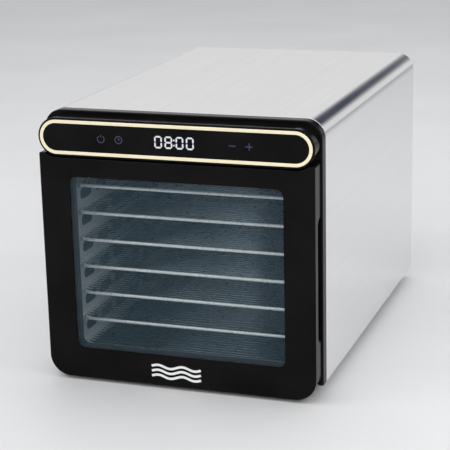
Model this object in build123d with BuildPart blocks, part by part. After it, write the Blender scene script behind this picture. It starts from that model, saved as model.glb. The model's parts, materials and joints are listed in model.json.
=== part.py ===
"""Cabinet food dehydrator: steel wrap, glazed door hinged on the left, seven wire trays, rear fan, heater.

Frame: +Z up, -Y out of the front, +X to the viewer's right. The origin is on the floor, under the middle of
the overall box. All sizes are in millimetres.
"""
from build123d import *
import os
from math import cos, radians, sin

# Overall size
WIDTH = 340.0
HEIGHT = 329.0
DEPTH = 520.0
FRONT = -DEPTH / 2
REAR = DEPTH / 2

# Case
CASE_LOW = 15.0
CASE_CORNER = 22.0
SHEET = 0.5
HEM_LENGTH = 5.0
HEM_THICKNESS = 2.0
FLANGE = 13.0
GLAND_REACH = 10.0
CASE_REAR = REAR - GLAND_REACH

# Door and bezel
DOOR_THICKNESS = 23.0
DOOR_GAP = 1.0
BACK_FRAME_THICKNESS = 3.0
BEZEL_DEPTH = 14.0
BEZEL_WALL = 3.0
DOOR_REAR = FRONT + DOOR_THICKNESS
DOOR_SPLIT = DOOR_REAR - BACK_FRAME_THICKNESS
BEZEL_FRONT = DOOR_REAR + DOOR_GAP
CASE_FRONT = BEZEL_FRONT + BEZEL_DEPTH
DOOR_WIDTH = 336.0
DOOR_LOW = 4.0
DOOR_HIGH = 282.0
DOOR_CORNER = 26.0
DOOR_WALL = 3.0
DOOR_FACE = 2.5

# Window
WINDOW_WIDTH = 262.0
WINDOW_LOW = 42.0
WINDOW_HIGH = 254.5
WINDOW_CORNER = 9.0
GLASS_MARGIN = 7.5
GLASS_THICKNESS = 3.0
GLASS_FRONT = FRONT + DOOR_FACE
GLASS_REAR = GLASS_FRONT + GLASS_THICKNESS

# Control fascia
FASCIA_HEIGHT = 45.7
FASCIA_Z = 301.3
FASCIA_RIM = 2.5
FASCIA_WALL = 2.5
TRIM_WIDTH = 4.0
TRIM_PROUD = 0.6
FASCIA_FRONT = FRONT + TRIM_PROUD
FASCIA_GAP = 1.75
SEAT_DEPTH = 1.6
SEAT = FASCIA_FRONT + SEAT_DEPTH
PANEL_FRONT = FASCIA_FRONT - 0.1
BOARD_FRONT = FRONT + 11.0
BOARD_THICKNESS = 1.6
BOARD_POSTS = [(-120, FASCIA_Z), (-40, FASCIA_Z), (50, FASCIA_Z), (120, FASCIA_Z)]
DISPLAY_X = 3.5
DISPLAY_SIZE = (62.0, 20.0)
KEY_X = [-88.0, -66.0, 72.0, 92.0]
KEY_RADIUS = 6.0

# Drying chamber
CHAMBER_HALF = 147.0
CHAMBER_FLOOR = 20.0
CHAMBER_TOP = 268.0
CHAMBER_FRONT = CASE_FRONT + 2.0
FAN_CHAMBER = 105.0
CHAMBER_REAR = CASE_REAR - FAN_CHAMBER
DOORWAY_HALF = 146.0
DOORWAY_TOP = 262.0
DOORWAY_CORNER = 8.0

# Trays
TRAY_COUNT = 7
TRAY_TOP_Z = 233.0
TRAY_PITCH = 33.8
TRAY_HALF = 143.0
TRAY_FRONT = CHAMBER_FRONT + 2.0
TRAY_REAR = CHAMBER_REAR - 12.0
TRAY_ROD = 2.0
TRAY_CORNER = 14.0
CROSS_ROD = 1.3
CROSS_ROD_Y = [TRAY_FRONT + (TRAY_REAR - TRAY_FRONT) * share for share in (0.25, 0.5, 0.75)]
MESH_PITCH = 19.0
MESH_WIRE = 1.4
MESH_COLUMNS = 14
MESH_ROWS = 18
WELD = 0.4
TRAY_LEVELS = [TRAY_TOP_Z - TRAY_PITCH * step for step in range(TRAY_COUNT)]
RUNNING_GAP = 0.4
SEAT_GAP = 0.1

# Rails
RAIL_WEB = 0.6
LEDGE_REACH = 9.0
GUIDE_REACH = 5.0
LEDGE_THICKNESS = 0.6

# Fan and heater
FAN_Z = (CHAMBER_FLOOR + CHAMBER_TOP) / 2
FAN_Y = CHAMBER_REAR + 12.0
BLADE_COUNT = 5
BLADE_TILT = 28.0
DUCT_RADIUS = 72.0
DUCT_WALL = 1.5
DUCT_REAR = CHAMBER_REAR + 22.0
RAISE = 3.0
RAISED_HALF = 100.0
SHAFT_RADIUS = 3.0
SHAFT_CLEARANCE = 0.06
HEATER_RADIUS = 86.0
HEATER_ROD = 3.2
HEATER_Y = CHAMBER_REAR + 13.0
MOTOR_FRONT = CHAMBER_REAR + 31.0
MOTOR_LENGTH = 44.0
MOTOR_RADIUS = 32.0
BRACKET_HALF = 100.0
BRACKET_HEIGHT = 40.0
BRACKET_SHEET = 2.0

# Hinges
HINGE_X = -DOOR_WIDTH / 2 + 6.0
HINGE_Y = FRONT + 12.0
HINGE_LEVELS = [38.0, 244.0]
PIN_RADIUS = 2.0
PIN_CLEARANCE = 0.06
PIN_LENGTH = 22.0
ARM_HALF = 3.5
ARM_THICKNESS = 3.0
ARM_CLEARANCE = 1.0
LEAF_THICKNESS = 1.5
LEAF_HEIGHT = 26.0

# Grip scooped out of the door's free edge
GRIP_DEPTH = 12.0
GRIP_LOW = 71.0
GRIP_HIGH = 220.0

# Magnets
MAGNET_X = 158.5
MAGNET_LEVELS = [52.0, 238.0]
MAGNET_SIZE = (7.0, 16.0)
MAGNET_THICKNESS = 1.8

# Seal
SEAL_HALF = 152.5
SEAL_LOW = 15.5
SEAL_HIGH = 267.5
SEAL_WIDTH = 4.0
SEAL_PROUD = 0.6
SEAL_GROOVE = 1.6

# Feet and gland
FOOT_X = 138.0
FOOT_Y = [-186.0, 208.0]
FOOT_RADIUS = 12.0
GLAND_X = -112.0
GLAND_Z = 48.0
GLAND_BORE = 3.7
GLAND_BARREL = 8.0

ON_TOP = (Align.CENTER, Align.CENTER, Align.MIN)
BELOW = (Align.CENTER, Align.CENTER, Align.MAX)
TO_FRONT = (90, 0, 0)
TO_REAR = (-90, 0, 0)
TO_FLOOR = (180, 0, 0)
BEHIND = (Align.CENTER, Align.MIN, Align.CENTER)
IN_FRONT = (Align.CENTER, Align.MAX, Align.CENTER)


def upright(y):
    """Upright plane at depth y. Its own axes are X and Z, and it extrudes towards the front."""
    return Plane.XZ.offset(-y)


def outline(width, low, high, top_corner, bottom_corner):
    """Rounded upright outline, centred on X, between two heights."""
    with BuildSketch() as shape:
        with Locations((0, (low + high) / 2)):
            Rectangle(width, high - low)
        fillet(shape.vertices().group_by(Axis.Y)[-1], top_corner)
        fillet(shape.vertices().group_by(Axis.Y)[0], bottom_corner)
    return shape.sketch


def case_outline(inset):
    """Outline of the steel wrap, drawn in by inset."""
    corner = CASE_CORNER - inset if inset < CASE_CORNER - 1 else 1.0
    return outline(WIDTH - 2 * inset, CASE_LOW + inset, HEIGHT - inset, corner, 1.0)


def on_skin(edge):
    """Whether an edge lies on the outer skin of the case, by its middle point."""
    middle = edge @ 0.5
    reach = CASE_CORNER - 0.8
    from_side = WIDTH / 2 - abs(middle.X)
    from_top = HEIGHT - middle.Z
    if from_side < CASE_CORNER and from_top < CASE_CORNER:
        return (CASE_CORNER - from_side) ** 2 + (CASE_CORNER - from_top) ** 2 > reach ** 2
    return from_side < 0.8 or from_top < 0.8


def screws(points, turn, head, shank):
    """Group of equal screws. turn points the heads; head and shank are (radius, length)."""
    with BuildPart() as group:
        with Locations(*points):
            Cylinder(*head, rotation=turn, align=ON_TOP)
            Cylinder(*shank, rotation=turn, align=BELOW)
            Box(head[0] * 1.1, head[0] * 0.3, head[1], rotation=turn, align=ON_TOP, mode=Mode.SUBTRACT)
    return group.part


def write(part, name):
    """Label one finished piece and write it."""
    part.label = name
    export_step(part, "parts/" + name + ".step")


os.makedirs("parts", exist_ok=True)

# ---------------------------------------------------------------- steel wrap
REAR_SCREWS = [(side * 162.5, CASE_REAR, z) for side in (-1, 1) for z in (40, 172, 290)]
BASE_SCREWS = [(side * 162.0, y, CASE_LOW) for side in (-1, 1) for y in (-180, 10, 205)]
SCREW_RADIUS = 1.75
OPEN_HALF = WIDTH / 2 - FLANGE - SHEET
RIM_ROUND = HEM_THICKNESS - 0.3

with BuildPart() as outer_wrap:
    with BuildSketch(upright(CASE_REAR)):
        add(case_outline(0))
        add(case_outline(SHEET), mode=Mode.SUBTRACT)
    extrude(amount=CASE_REAR - CASE_FRONT)
    with BuildSketch(Plane.XY.offset(CASE_LOW)):
        with Locations((0, (CASE_FRONT + CASE_REAR) / 2)):
            Rectangle(2 * OPEN_HALF, CASE_REAR - CASE_FRONT)
    extrude(amount=SHEET, mode=Mode.SUBTRACT)
    with BuildSketch(upright(CASE_REAR)):
        add(case_outline(0))
        add(case_outline(FLANGE), mode=Mode.SUBTRACT)
    extrude(amount=SHEET)
    with BuildSketch(upright(CASE_FRONT + HEM_LENGTH)):
        add(case_outline(0))
        add(case_outline(HEM_THICKNESS), mode=Mode.SUBTRACT)
        with Locations((0, CASE_LOW)):
            Rectangle(2 * OPEN_HALF, 4 * HEM_THICKNESS, mode=Mode.SUBTRACT)
    extrude(amount=HEM_LENGTH)
    front_rim = outer_wrap.edges().filter_by_position(Axis.Y, CASE_FRONT - 0.1, CASE_FRONT + 0.1)
    upper_rim = front_rim.filter_by_position(Axis.Z, CASE_LOW + 2, HEIGHT + 1)
    fillet([edge for edge in upper_rim if on_skin(edge)], RIM_ROUND)
    with Locations(*REAR_SCREWS):
        Cylinder(SCREW_RADIUS, 4, rotation=TO_REAR, mode=Mode.SUBTRACT)
    with Locations(*BASE_SCREWS):
        Cylinder(SCREW_RADIUS, 4, mode=Mode.SUBTRACT)
write(outer_wrap.part, "outer_wrap")

# ---------------------------------------------------------------- base pan
PAN_LOW = CASE_LOW + SHEET
PAN_HALF = WIDTH / 2 - SHEET - 1.0
PAN_FRONT = CASE_FRONT + HEM_LENGTH + 1.0
PAN_REAR = CASE_REAR - 2 * SHEET - 0.5
FEET = [(side * FOOT_X, y, 0) for side in (-1, 1) for y in FOOT_Y]
INTAKE_Y = 184.0
INTAKE_PITCH = (9.0, 34.0)
INTAKE_COUNT = (18, 2)
INTAKE_SLOT = (26.0, 3.0)

with BuildPart() as base_pan:
    with BuildSketch(Plane.XY.offset(PAN_LOW)):
        with Locations((0, (PAN_FRONT + PAN_REAR) / 2)):
            Rectangle(2 * PAN_HALF, PAN_REAR - PAN_FRONT)
        with Locations((0, INTAKE_Y)):
            with GridLocations(*INTAKE_PITCH, *INTAKE_COUNT):
                SlotOverall(*INTAKE_SLOT, rotation=90, mode=Mode.SUBTRACT)
    extrude(amount=SHEET)
    for side in (-1, 1):
        with BuildSketch(Plane.XY.offset(PAN_LOW)):
            with Locations((side * (PAN_HALF - SHEET / 2), (PAN_FRONT + PAN_REAR) / 2)):
                Rectangle(SHEET, PAN_REAR - PAN_FRONT - 20)
        extrude(amount=FLANGE)
    with Locations(*FEET, *BASE_SCREWS):
        Cylinder(SCREW_RADIUS, 40, align=ON_TOP, mode=Mode.SUBTRACT)
write(base_pan.part, "base_pan")

FOOT_WELL = (5.0, 9.0)

with BuildPart() as foot:
    Cone(FOOT_RADIUS - 2, FOOT_RADIUS, PAN_LOW, align=ON_TOP)
    fillet(foot.edges().group_by(Axis.Z)[0], 1.5)
    Cylinder(*FOOT_WELL, align=ON_TOP, mode=Mode.SUBTRACT)
    Cylinder(SCREW_RADIUS, PAN_LOW, align=ON_TOP, mode=Mode.SUBTRACT)
with BuildPart() as rubber_feet:
    with Locations(*FEET):
        add(foot.part)
write(rubber_feet.part, "rubber_feet")
FOOT_SCREWS = [(x, y, FOOT_WELL[1]) for x, y, z in FEET]
write(screws(FOOT_SCREWS, TO_FLOOR, (3.5, 2.4), (SCREW_RADIUS, 9.5)), "foot_screws")
write(screws(BASE_SCREWS, TO_FLOOR, (3.4, 2.0), (SCREW_RADIUS, 7)), "base_screws")

# ---------------------------------------------------------------- rear panel and cord gland
PANEL_REAR = CASE_REAR - SHEET
VENT_SLOT = (38.0, 3.0)
VENT_PITCH = (46.0, 9.0)
VENT_GROUPS = [(FAN_Z + 6, (3, 13)), (286.0, (3, 3))]

with BuildPart() as rear_panel:
    with BuildSketch(upright(PANEL_REAR)):
        add(case_outline(SHEET + 0.4))
        for z, count in VENT_GROUPS:
            with Locations((0, z)):
                with GridLocations(*VENT_PITCH, *count):
                    SlotOverall(*VENT_SLOT, mode=Mode.SUBTRACT)
        with Locations((GLAND_X, GLAND_Z)):
            Circle(GLAND_BARREL + SEAT_GAP, mode=Mode.SUBTRACT)
    extrude(amount=SHEET)
    with Locations(*REAR_SCREWS):
        Cylinder(SCREW_RADIUS, 8, rotation=TO_REAR, mode=Mode.SUBTRACT)
write(rear_panel.part, "rear_panel")
write(screws(REAR_SCREWS, TO_REAR, (3.4, 2.2), (SCREW_RADIUS, 8)), "rear_screws")

GLAND_COLLAR = 3.5
GLAND_INSIDE = 9.0
GLAND_TIP = 5.8

with BuildPart() as cord_gland:
    with Locations((GLAND_X, PANEL_REAR, GLAND_Z)):
        Cylinder(GLAND_BARREL + GLAND_COLLAR, GLAND_COLLAR, rotation=TO_REAR, align=ON_TOP)
        Cylinder(GLAND_BARREL, GLAND_INSIDE, rotation=TO_REAR, align=BELOW)
        Cone(GLAND_BARREL, GLAND_TIP, REAR - PANEL_REAR, rotation=TO_REAR, align=ON_TOP)
        Cylinder(GLAND_BORE, 4 * GLAND_REACH, rotation=TO_REAR, mode=Mode.SUBTRACT)
write(cord_gland.part, "cord_gland")

# ---------------------------------------------------------------- front bezel
COLLAR_WALL = 3.0
DOORWAY = outline(2 * DOORWAY_HALF, CHAMBER_FLOOR, DOORWAY_TOP, DOORWAY_CORNER, 2.0)
COLLAR = outline(2 * (DOORWAY_HALF + COLLAR_WALL), CHAMBER_FLOOR - COLLAR_WALL, DOORWAY_TOP + COLLAR_WALL,
                 DOORWAY_CORNER + COLLAR_WALL, COLLAR_WALL)
LIP_LENGTH = 8.0
LIP_INNER = 4.4
LIP_LOW = 32.0
HINGE_SCREWS = [(HINGE_X + 10.0, BEZEL_FRONT, z + dz) for z in HINGE_LEVELS for dz in (-8.0, 8.0)]
LEAF_WIDTH = 22.0
LEAF_X = HINGE_X + 5.5
LEAF_FIT = 0.6
PILOT_RADIUS = 1.4
STRIKER_THICKNESS = 1.2
STRIKER_SIZE = (MAGNET_SIZE[0] + 3, MAGNET_SIZE[1] + 4)
LEAD_OPENING = (80.0, 18.0)

with BuildPart() as front_bezel:
    with BuildSketch(upright(CASE_FRONT)):
        add(case_outline(0))
        add(case_outline(LIP_INNER), mode=Mode.SUBTRACT)
    extrude(amount=BEZEL_DEPTH)
    with BuildSketch(upright(BEZEL_FRONT + BEZEL_WALL)):
        add(case_outline(0))
        add(DOORWAY, mode=Mode.SUBTRACT)
        with Locations((0, FASCIA_Z)):
            RectangleRounded(*LEAD_OPENING, 4, mode=Mode.SUBTRACT)
    extrude(amount=BEZEL_WALL)
    with BuildSketch(upright(CHAMBER_FRONT)):
        add(COLLAR)
        add(DOORWAY, mode=Mode.SUBTRACT)
    extrude(amount=CHAMBER_FRONT - BEZEL_FRONT)
    with BuildSketch(upright(CASE_FRONT + LIP_LENGTH)):
        add(case_outline(HEM_THICKNESS + 0.2))
        add(case_outline(LIP_INNER), mode=Mode.SUBTRACT)
        with Locations((0, LIP_LOW / 2)):
            Rectangle(WIDTH, LIP_LOW, mode=Mode.SUBTRACT)
    extrude(amount=LIP_LENGTH + 1)
    for level in HINGE_LEVELS:
        with BuildSketch(upright(BEZEL_FRONT + LEAF_THICKNESS)):
            with Locations((LEAF_X, level)):
                Rectangle(LEAF_WIDTH + LEAF_FIT, LEAF_HEIGHT + LEAF_FIT)
        extrude(amount=LEAF_THICKNESS, mode=Mode.SUBTRACT)
    for level in MAGNET_LEVELS:
        with BuildSketch(upright(BEZEL_FRONT + STRIKER_THICKNESS)):
            with Locations((MAGNET_X, level)):
                Rectangle(*STRIKER_SIZE)
        extrude(amount=STRIKER_THICKNESS, mode=Mode.SUBTRACT)
    with Locations(*HINGE_SCREWS):
        Cylinder(PILOT_RADIUS, 20, rotation=TO_REAR, mode=Mode.SUBTRACT)
    fillet(front_bezel.faces().sort_by(Axis.Y)[0].outer_wire().edges(), 1.5)
write(front_bezel.part, "front_bezel")

with BuildPart() as striker_plates:
    for level in MAGNET_LEVELS:
        with Locations((MAGNET_X, BEZEL_FRONT + STRIKER_THICKNESS, level)):
            Box(STRIKER_SIZE[0], STRIKER_THICKNESS, STRIKER_SIZE[1], align=IN_FRONT)
write(striker_plates.part, "striker_plates")

# ---------------------------------------------------------------- control fascia
FASCIA_WIDTH = DOOR_WIDTH


def pill(inset):
    """Round-ended outline of the control fascia, drawn in by inset."""
    with BuildSketch() as shape:
        with Locations((0, FASCIA_Z)):
            SlotOverall(FASCIA_WIDTH - 2 * inset, FASCIA_HEIGHT - 2 * inset)
    return shape.sketch


BOARD_SCREWS = [(x, BOARD_FRONT + BOARD_THICKNESS, z) for x, z in BOARD_POSTS]
FACE_SHEET = 2.0
POST_RADIUS = 3.2
BOARD_SCREW_RADIUS = 1.2

with BuildPart() as control_fascia:
    with BuildSketch(upright(BEZEL_FRONT)):
        add(pill(0))
    extrude(amount=BEZEL_FRONT - FASCIA_FRONT)
    fillet(control_fascia.faces().sort_by(Axis.Y)[0].edges(), 1.2)
    with BuildSketch(upright(BEZEL_FRONT)):
        add(pill(FASCIA_WALL))
    extrude(amount=BEZEL_FRONT - SEAT - FACE_SHEET, mode=Mode.SUBTRACT)
    with BuildSketch(upright(SEAT)):
        add(pill(FASCIA_RIM))
    extrude(amount=SEAT_DEPTH, mode=Mode.SUBTRACT)
    with BuildSketch(upright(BOARD_FRONT)):
        with Locations(*BOARD_POSTS):
            Circle(POST_RADIUS)
    extrude(amount=BOARD_FRONT - SEAT - 1.0)
    with BuildSketch(upright(BOARD_FRONT)):
        with Locations(*BOARD_POSTS):
            Circle(BOARD_SCREW_RADIUS)
    extrude(amount=6, mode=Mode.SUBTRACT)
    with BuildSketch(upright(SEAT + FACE_SHEET + 1)):
        with Locations((DISPLAY_X, FASCIA_Z)):
            Rectangle(DISPLAY_SIZE[0] + 1, DISPLAY_SIZE[1] + 1)
        with Locations(*[(x, FASCIA_Z) for x in KEY_X]):
            Circle(KEY_RADIUS + 0.5)
    extrude(amount=2 * FACE_SHEET, mode=Mode.SUBTRACT)
write(control_fascia.part, "control_fascia")

with BuildPart() as trim_ring:
    with BuildSketch(upright(SEAT)):
        add(pill(FASCIA_RIM))
        add(pill(FASCIA_RIM + TRIM_WIDTH), mode=Mode.SUBTRACT)
    extrude(amount=SEAT - FRONT)
    fillet(trim_ring.faces().sort_by(Axis.Y)[0].edges(), 0.5)
write(trim_ring.part, "trim_ring")

with BuildPart() as touch_panel:
    with BuildSketch(upright(SEAT)):
        add(pill(FASCIA_RIM + TRIM_WIDTH + SEAT_GAP))
    extrude(amount=SEAT - PANEL_FRONT)
write(touch_panel.part, "touch_panel")

FIGURE_PITCH = 13.5
FIGURE_SIZE = (10.0, 16.0)
FIGURE_DEPTH = 0.6

with BuildPart() as display_module:
    with BuildSketch(upright(BOARD_FRONT)):
        with Locations((DISPLAY_X, FASCIA_Z)):
            Rectangle(*DISPLAY_SIZE)
    extrude(amount=BOARD_FRONT - SEAT)
    with BuildSketch(upright(SEAT + FIGURE_DEPTH)):
        with Locations((DISPLAY_X, FASCIA_Z)):
            with GridLocations(FIGURE_PITCH, 1, 4, 1):
                Rectangle(*FIGURE_SIZE)
    extrude(amount=FIGURE_DEPTH, mode=Mode.SUBTRACT)
write(display_module.part, "display_module")

with BuildPart() as touch_pads:
    for x in KEY_X:
        with Locations((x, BOARD_FRONT, FASCIA_Z)):
            Cylinder(KEY_RADIUS, 1.0, rotation=TO_FRONT, align=ON_TOP)
            Cylinder(KEY_RADIUS - 2.5, BOARD_FRONT - SEAT, rotation=TO_FRONT, align=ON_TOP)
write(touch_pads.part, "touch_pads")

CONTROL_BOARD_SIZE = (262.0, 30.0)
CONTROL_CHIPS = [(-80, 22), (-10, 14), (84, 26)]
CHIP_HEIGHT = 14.0
CHIP_THICKNESS = 3.0

with BuildPart() as control_board:
    with BuildSketch(upright(BOARD_FRONT + BOARD_THICKNESS)):
        with Locations((0, FASCIA_Z)):
            RectangleRounded(*CONTROL_BOARD_SIZE, 3)
        with Locations(*BOARD_POSTS):
            Circle(BOARD_SCREW_RADIUS, mode=Mode.SUBTRACT)
    extrude(amount=BOARD_THICKNESS)
    for x, width in CONTROL_CHIPS:
        with Locations((x, BOARD_FRONT + BOARD_THICKNESS, FASCIA_Z)):
            Box(width, CHIP_THICKNESS, CHIP_HEIGHT, align=BEHIND)
write(control_board.part, "control_board")
write(screws(BOARD_SCREWS, TO_REAR, (2.2, 1.4), (BOARD_SCREW_RADIUS, 6)), "board_screws")

# ---------------------------------------------------------------- drying chamber
with BuildPart() as chamber_liner:
    with BuildSketch(upright(CHAMBER_REAR)):
        with Locations((0, (CHAMBER_FLOOR + CHAMBER_TOP) / 2)):
            Rectangle(2 * CHAMBER_HALF + 2 * SHEET, CHAMBER_TOP - CHAMBER_FLOOR)
            Rectangle(2 * CHAMBER_HALF, CHAMBER_TOP - CHAMBER_FLOOR, mode=Mode.SUBTRACT)
        with Locations((0, CHAMBER_TOP + SHEET / 2)):
            Rectangle(2 * CHAMBER_HALF + 2 * SHEET, SHEET)
    extrude(amount=CHAMBER_REAR - CHAMBER_FRONT)
write(chamber_liner.part, "chamber_liner")

with BuildPart() as chamber_floor:
    with BuildSketch(Plane.XY.offset(CHAMBER_FLOOR - SHEET)):
        with Locations((0, (CHAMBER_FRONT + CHAMBER_REAR) / 2)):
            Rectangle(2 * CHAMBER_HALF + 2 * SHEET, CHAMBER_REAR - CHAMBER_FRONT)
    extrude(amount=SHEET)
write(chamber_floor.part, "chamber_floor")

SUPPORT_Y = [-160.0, -10.0, 120.0]
SUPPORT_SIZE = (280.0, 22.0)
SUPPORT_HEIGHT = CHAMBER_FLOOR - PAN_LOW - 2 * SHEET

with BuildPart() as floor_supports:
    for y in SUPPORT_Y:
        with Locations((0, y, PAN_LOW + SHEET)):
            Box(*SUPPORT_SIZE, SUPPORT_HEIGHT, align=ON_TOP)
            Box(SUPPORT_SIZE[0], SUPPORT_SIZE[1] - 2 * SHEET, SUPPORT_HEIGHT - SHEET, align=ON_TOP,
                mode=Mode.SUBTRACT)
write(floor_supports.part, "floor_supports")

RAIL_SLOT = (34.0, 14.0)
RAIL_SLOT_PITCH = 46.0
RAIL_SLOT_COUNT = 7
RAIL_MARGIN = 6.0
RAIL_CENTRE = ((TRAY_FRONT + TRAY_REAR) / 2, (TRAY_LEVELS[0] + TRAY_LEVELS[-1]) / 2)
RAIL_LENGTH = TRAY_REAR - TRAY_FRONT

for side, name in ((-1, "left_rail"), (1, "right_rail")):
    with BuildPart() as rail:
        with BuildSketch(Plane.YZ.offset(side * (CHAMBER_HALF - RAIL_WEB / 2))):
            with Locations(RAIL_CENTRE):
                Rectangle(RAIL_LENGTH, TRAY_LEVELS[0] - TRAY_LEVELS[-1] + 2 * RAIL_MARGIN)
            for level in TRAY_LEVELS[1:]:
                with Locations((RAIL_CENTRE[0], level + TRAY_PITCH / 2)):
                    with GridLocations(RAIL_SLOT_PITCH, 1, RAIL_SLOT_COUNT, 1):
                        SlotOverall(*RAIL_SLOT, mode=Mode.SUBTRACT)
        extrude(amount=RAIL_WEB / 2, both=True)
        for level in TRAY_LEVELS:
            ledge_top = level - TRAY_ROD - RUNNING_GAP
            guide_low = level + TRAY_ROD + RUNNING_GAP
            for low, reach in ((ledge_top - LEDGE_THICKNESS, LEDGE_REACH), (guide_low, GUIDE_REACH)):
                web_face = side * (CHAMBER_HALF - RAIL_WEB)
                with BuildSketch(Plane.XY.offset(low)):
                    with Locations((web_face - side * reach / 2, RAIL_CENTRE[0])):
                        Rectangle(reach, RAIL_LENGTH)
                extrude(amount=LEDGE_THICKNESS)
    write(rail.part, name)

BAFFLE_HALF = CHAMBER_HALF + SHEET
RAISED_FACE = CHAMBER_REAR - RAISE
PROBE = (-118.0, CHAMBER_REAR, 226.0)
CUTOUT = (118.0, CHAMBER_REAR + SHEET, 226.0)
PROBE_RADIUS = 2.5
PROBE_LENGTH = 26.0
RAISED_CORNER = 14.0
RAISED_WALL = 2.0
DUCT_FLANGE = 9.0
RAISED_OUTSIDE = (2 * RAISED_HALF, 2 * RAISED_HALF, RAISED_CORNER)
RAISED_INNER = 2 * (RAISED_HALF - RAISED_WALL)
RAISED_INSIDE = (RAISED_INNER, RAISED_INNER, RAISED_CORNER - RAISED_WALL)

with BuildPart() as rear_baffle:
    with BuildSketch(upright(CHAMBER_REAR + SHEET)):
        with Locations((0, FAN_Z)):
            Rectangle(2 * BAFFLE_HALF, CHAMBER_TOP - CHAMBER_FLOOR + 2 * SHEET)
            RectangleRounded(*RAISED_INSIDE, mode=Mode.SUBTRACT)
        with Locations((PROBE[0], PROBE[2])):
            Circle(PROBE_RADIUS + SEAT_GAP, mode=Mode.SUBTRACT)
    extrude(amount=SHEET)
    with BuildSketch(upright(CHAMBER_REAR + SHEET)):
        with Locations((0, FAN_Z)):
            RectangleRounded(*RAISED_OUTSIDE)
            RectangleRounded(*RAISED_INSIDE, mode=Mode.SUBTRACT)
    extrude(amount=RAISE + SHEET)
    with BuildSketch(upright(RAISED_FACE + SHEET)):
        with Locations((0, FAN_Z)):
            RectangleRounded(*RAISED_OUTSIDE)
            Circle(DUCT_RADIUS + DUCT_WALL + SEAT_GAP, mode=Mode.SUBTRACT)
    extrude(amount=SHEET)
write(rear_baffle.part, "rear_baffle")

with BuildPart() as fan_duct:
    with BuildSketch(upright(DUCT_REAR)):
        with Locations((0, FAN_Z)):
            Circle(DUCT_RADIUS + DUCT_WALL)
            Circle(DUCT_RADIUS, mode=Mode.SUBTRACT)
    extrude(amount=DUCT_REAR - RAISED_FACE + DUCT_WALL)
    with BuildSketch(upright(RAISED_FACE)):
        with Locations((0, FAN_Z)):
            Circle(DUCT_RADIUS + DUCT_FLANGE)
            Circle(DUCT_RADIUS, mode=Mode.SUBTRACT)
    extrude(amount=DUCT_WALL)
write(fan_duct.part, "fan_duct")

# ---------------------------------------------------------------- fan
HUB_RADIUS = 17.0
HUB_LENGTH = 6.0
SHAFT_PROUD = 7.0
SHAFT_FRONT = FAN_Y - SHAFT_PROUD
SHAFT_INSIDE = 18.0
NUT_RADIUS = 7.5
CAP_RADIUS = 6.2
BLADE_SHEET = 1.2
BLADE_EDGE = [(12, -6), (34, -19), (58, -22), (66, -10), (66, 10), (58, 19), (34, 14), (12, 6)]

with BuildPart() as fan_blades:
    for blade in range(BLADE_COUNT):
        angle = radians(90 + 360 / BLADE_COUNT * blade)
        radial = Vector(cos(angle), 0, sin(angle))
        tangent = Vector(-sin(angle), 0, cos(angle))
        tilt = radians(BLADE_TILT)
        normal = Vector(0, -1, 0) * cos(tilt) + tangent * sin(tilt)
        with BuildSketch(Plane(origin=(0, FAN_Y, FAN_Z), x_dir=radial, z_dir=normal)) as blade_face:
            with BuildLine():
                Polyline(*BLADE_EDGE, close=True)
            make_face()
            fillet(blade_face.vertices().filter_by_position(Axis.X, 30, 70), 5)
        extrude(amount=BLADE_SHEET / 2, both=True)
    with Locations((0, FAN_Y, FAN_Z)):
        Cylinder(HUB_RADIUS, HUB_LENGTH, rotation=TO_REAR)
        Cylinder(SHAFT_RADIUS, 2 * HUB_LENGTH, rotation=TO_REAR, mode=Mode.SUBTRACT)
write(fan_blades.part, "fan_blades")

with BuildPart() as fan_shaft:
    with Locations((0, SHAFT_FRONT, FAN_Z)):
        Cylinder(SHAFT_RADIUS, MOTOR_FRONT + SHAFT_INSIDE - SHAFT_FRONT, rotation=TO_REAR, align=ON_TOP)
write(fan_shaft.part, "fan_shaft")

with BuildPart() as fan_nut:
    with BuildSketch(upright(FAN_Y - HUB_LENGTH / 2)):
        with Locations((0, FAN_Z)):
            RegularPolygon(NUT_RADIUS, 6)
            Circle(SHAFT_RADIUS, mode=Mode.SUBTRACT)
    extrude(amount=SHAFT_PROUD - HUB_LENGTH / 2)
    with BuildSketch(upright(FAN_Y - SHAFT_PROUD)):
        with Locations((0, FAN_Z)):
            Circle(CAP_RADIUS)
    extrude(amount=3)
    fillet(fan_nut.faces().sort_by(Axis.Y)[0].edges(), 2)
write(fan_nut.part, "fan_nut")

# ---------------------------------------------------------------- motor and bracket
MOTOR_SCREW_SPOTS = [(x, MOTOR_FRONT - BRACKET_SHEET, FAN_Z + dz) for x in (-20, 20) for dz in (-12, 12)]
BRACKET_FRONT = CHAMBER_REAR + SHEET
BRACKET_FEET = [(side * (BRACKET_HALF + 8), BRACKET_FRONT + BRACKET_SHEET, FAN_Z + dz)
                for side in (-1, 1) for dz in (-12, 12)]
BRACKET_FOOT = 14.0
BRACKET_HOLE = 10.0
CORE_SIZE = (74.0, 50.0)
CORE_START = 14.0
CORE_LENGTH = 16.0
BEARING_DEPTH = 20.0

with BuildPart() as motor_bracket:
    with BuildSketch(upright(MOTOR_FRONT)):
        with Locations((0, FAN_Z)):
            Rectangle(2 * BRACKET_HALF, BRACKET_HEIGHT)
            Circle(BRACKET_HOLE, mode=Mode.SUBTRACT)
    extrude(amount=BRACKET_SHEET)
    for side in (-1, 1):
        with BuildSketch(upright(MOTOR_FRONT)):
            with Locations((side * (BRACKET_HALF - BRACKET_SHEET / 2), FAN_Z)):
                Rectangle(BRACKET_SHEET, BRACKET_HEIGHT)
        extrude(amount=MOTOR_FRONT - BRACKET_FRONT)
        with BuildSketch(upright(BRACKET_FRONT + BRACKET_SHEET)):
            with Locations((side * (BRACKET_HALF - 1 + BRACKET_FOOT / 2), FAN_Z)):
                Rectangle(BRACKET_FOOT, BRACKET_HEIGHT)
        extrude(amount=BRACKET_SHEET)
    with Locations(*MOTOR_SCREW_SPOTS, *BRACKET_FEET):
        Cylinder(SCREW_RADIUS, 10, rotation=TO_REAR, mode=Mode.SUBTRACT)
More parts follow.
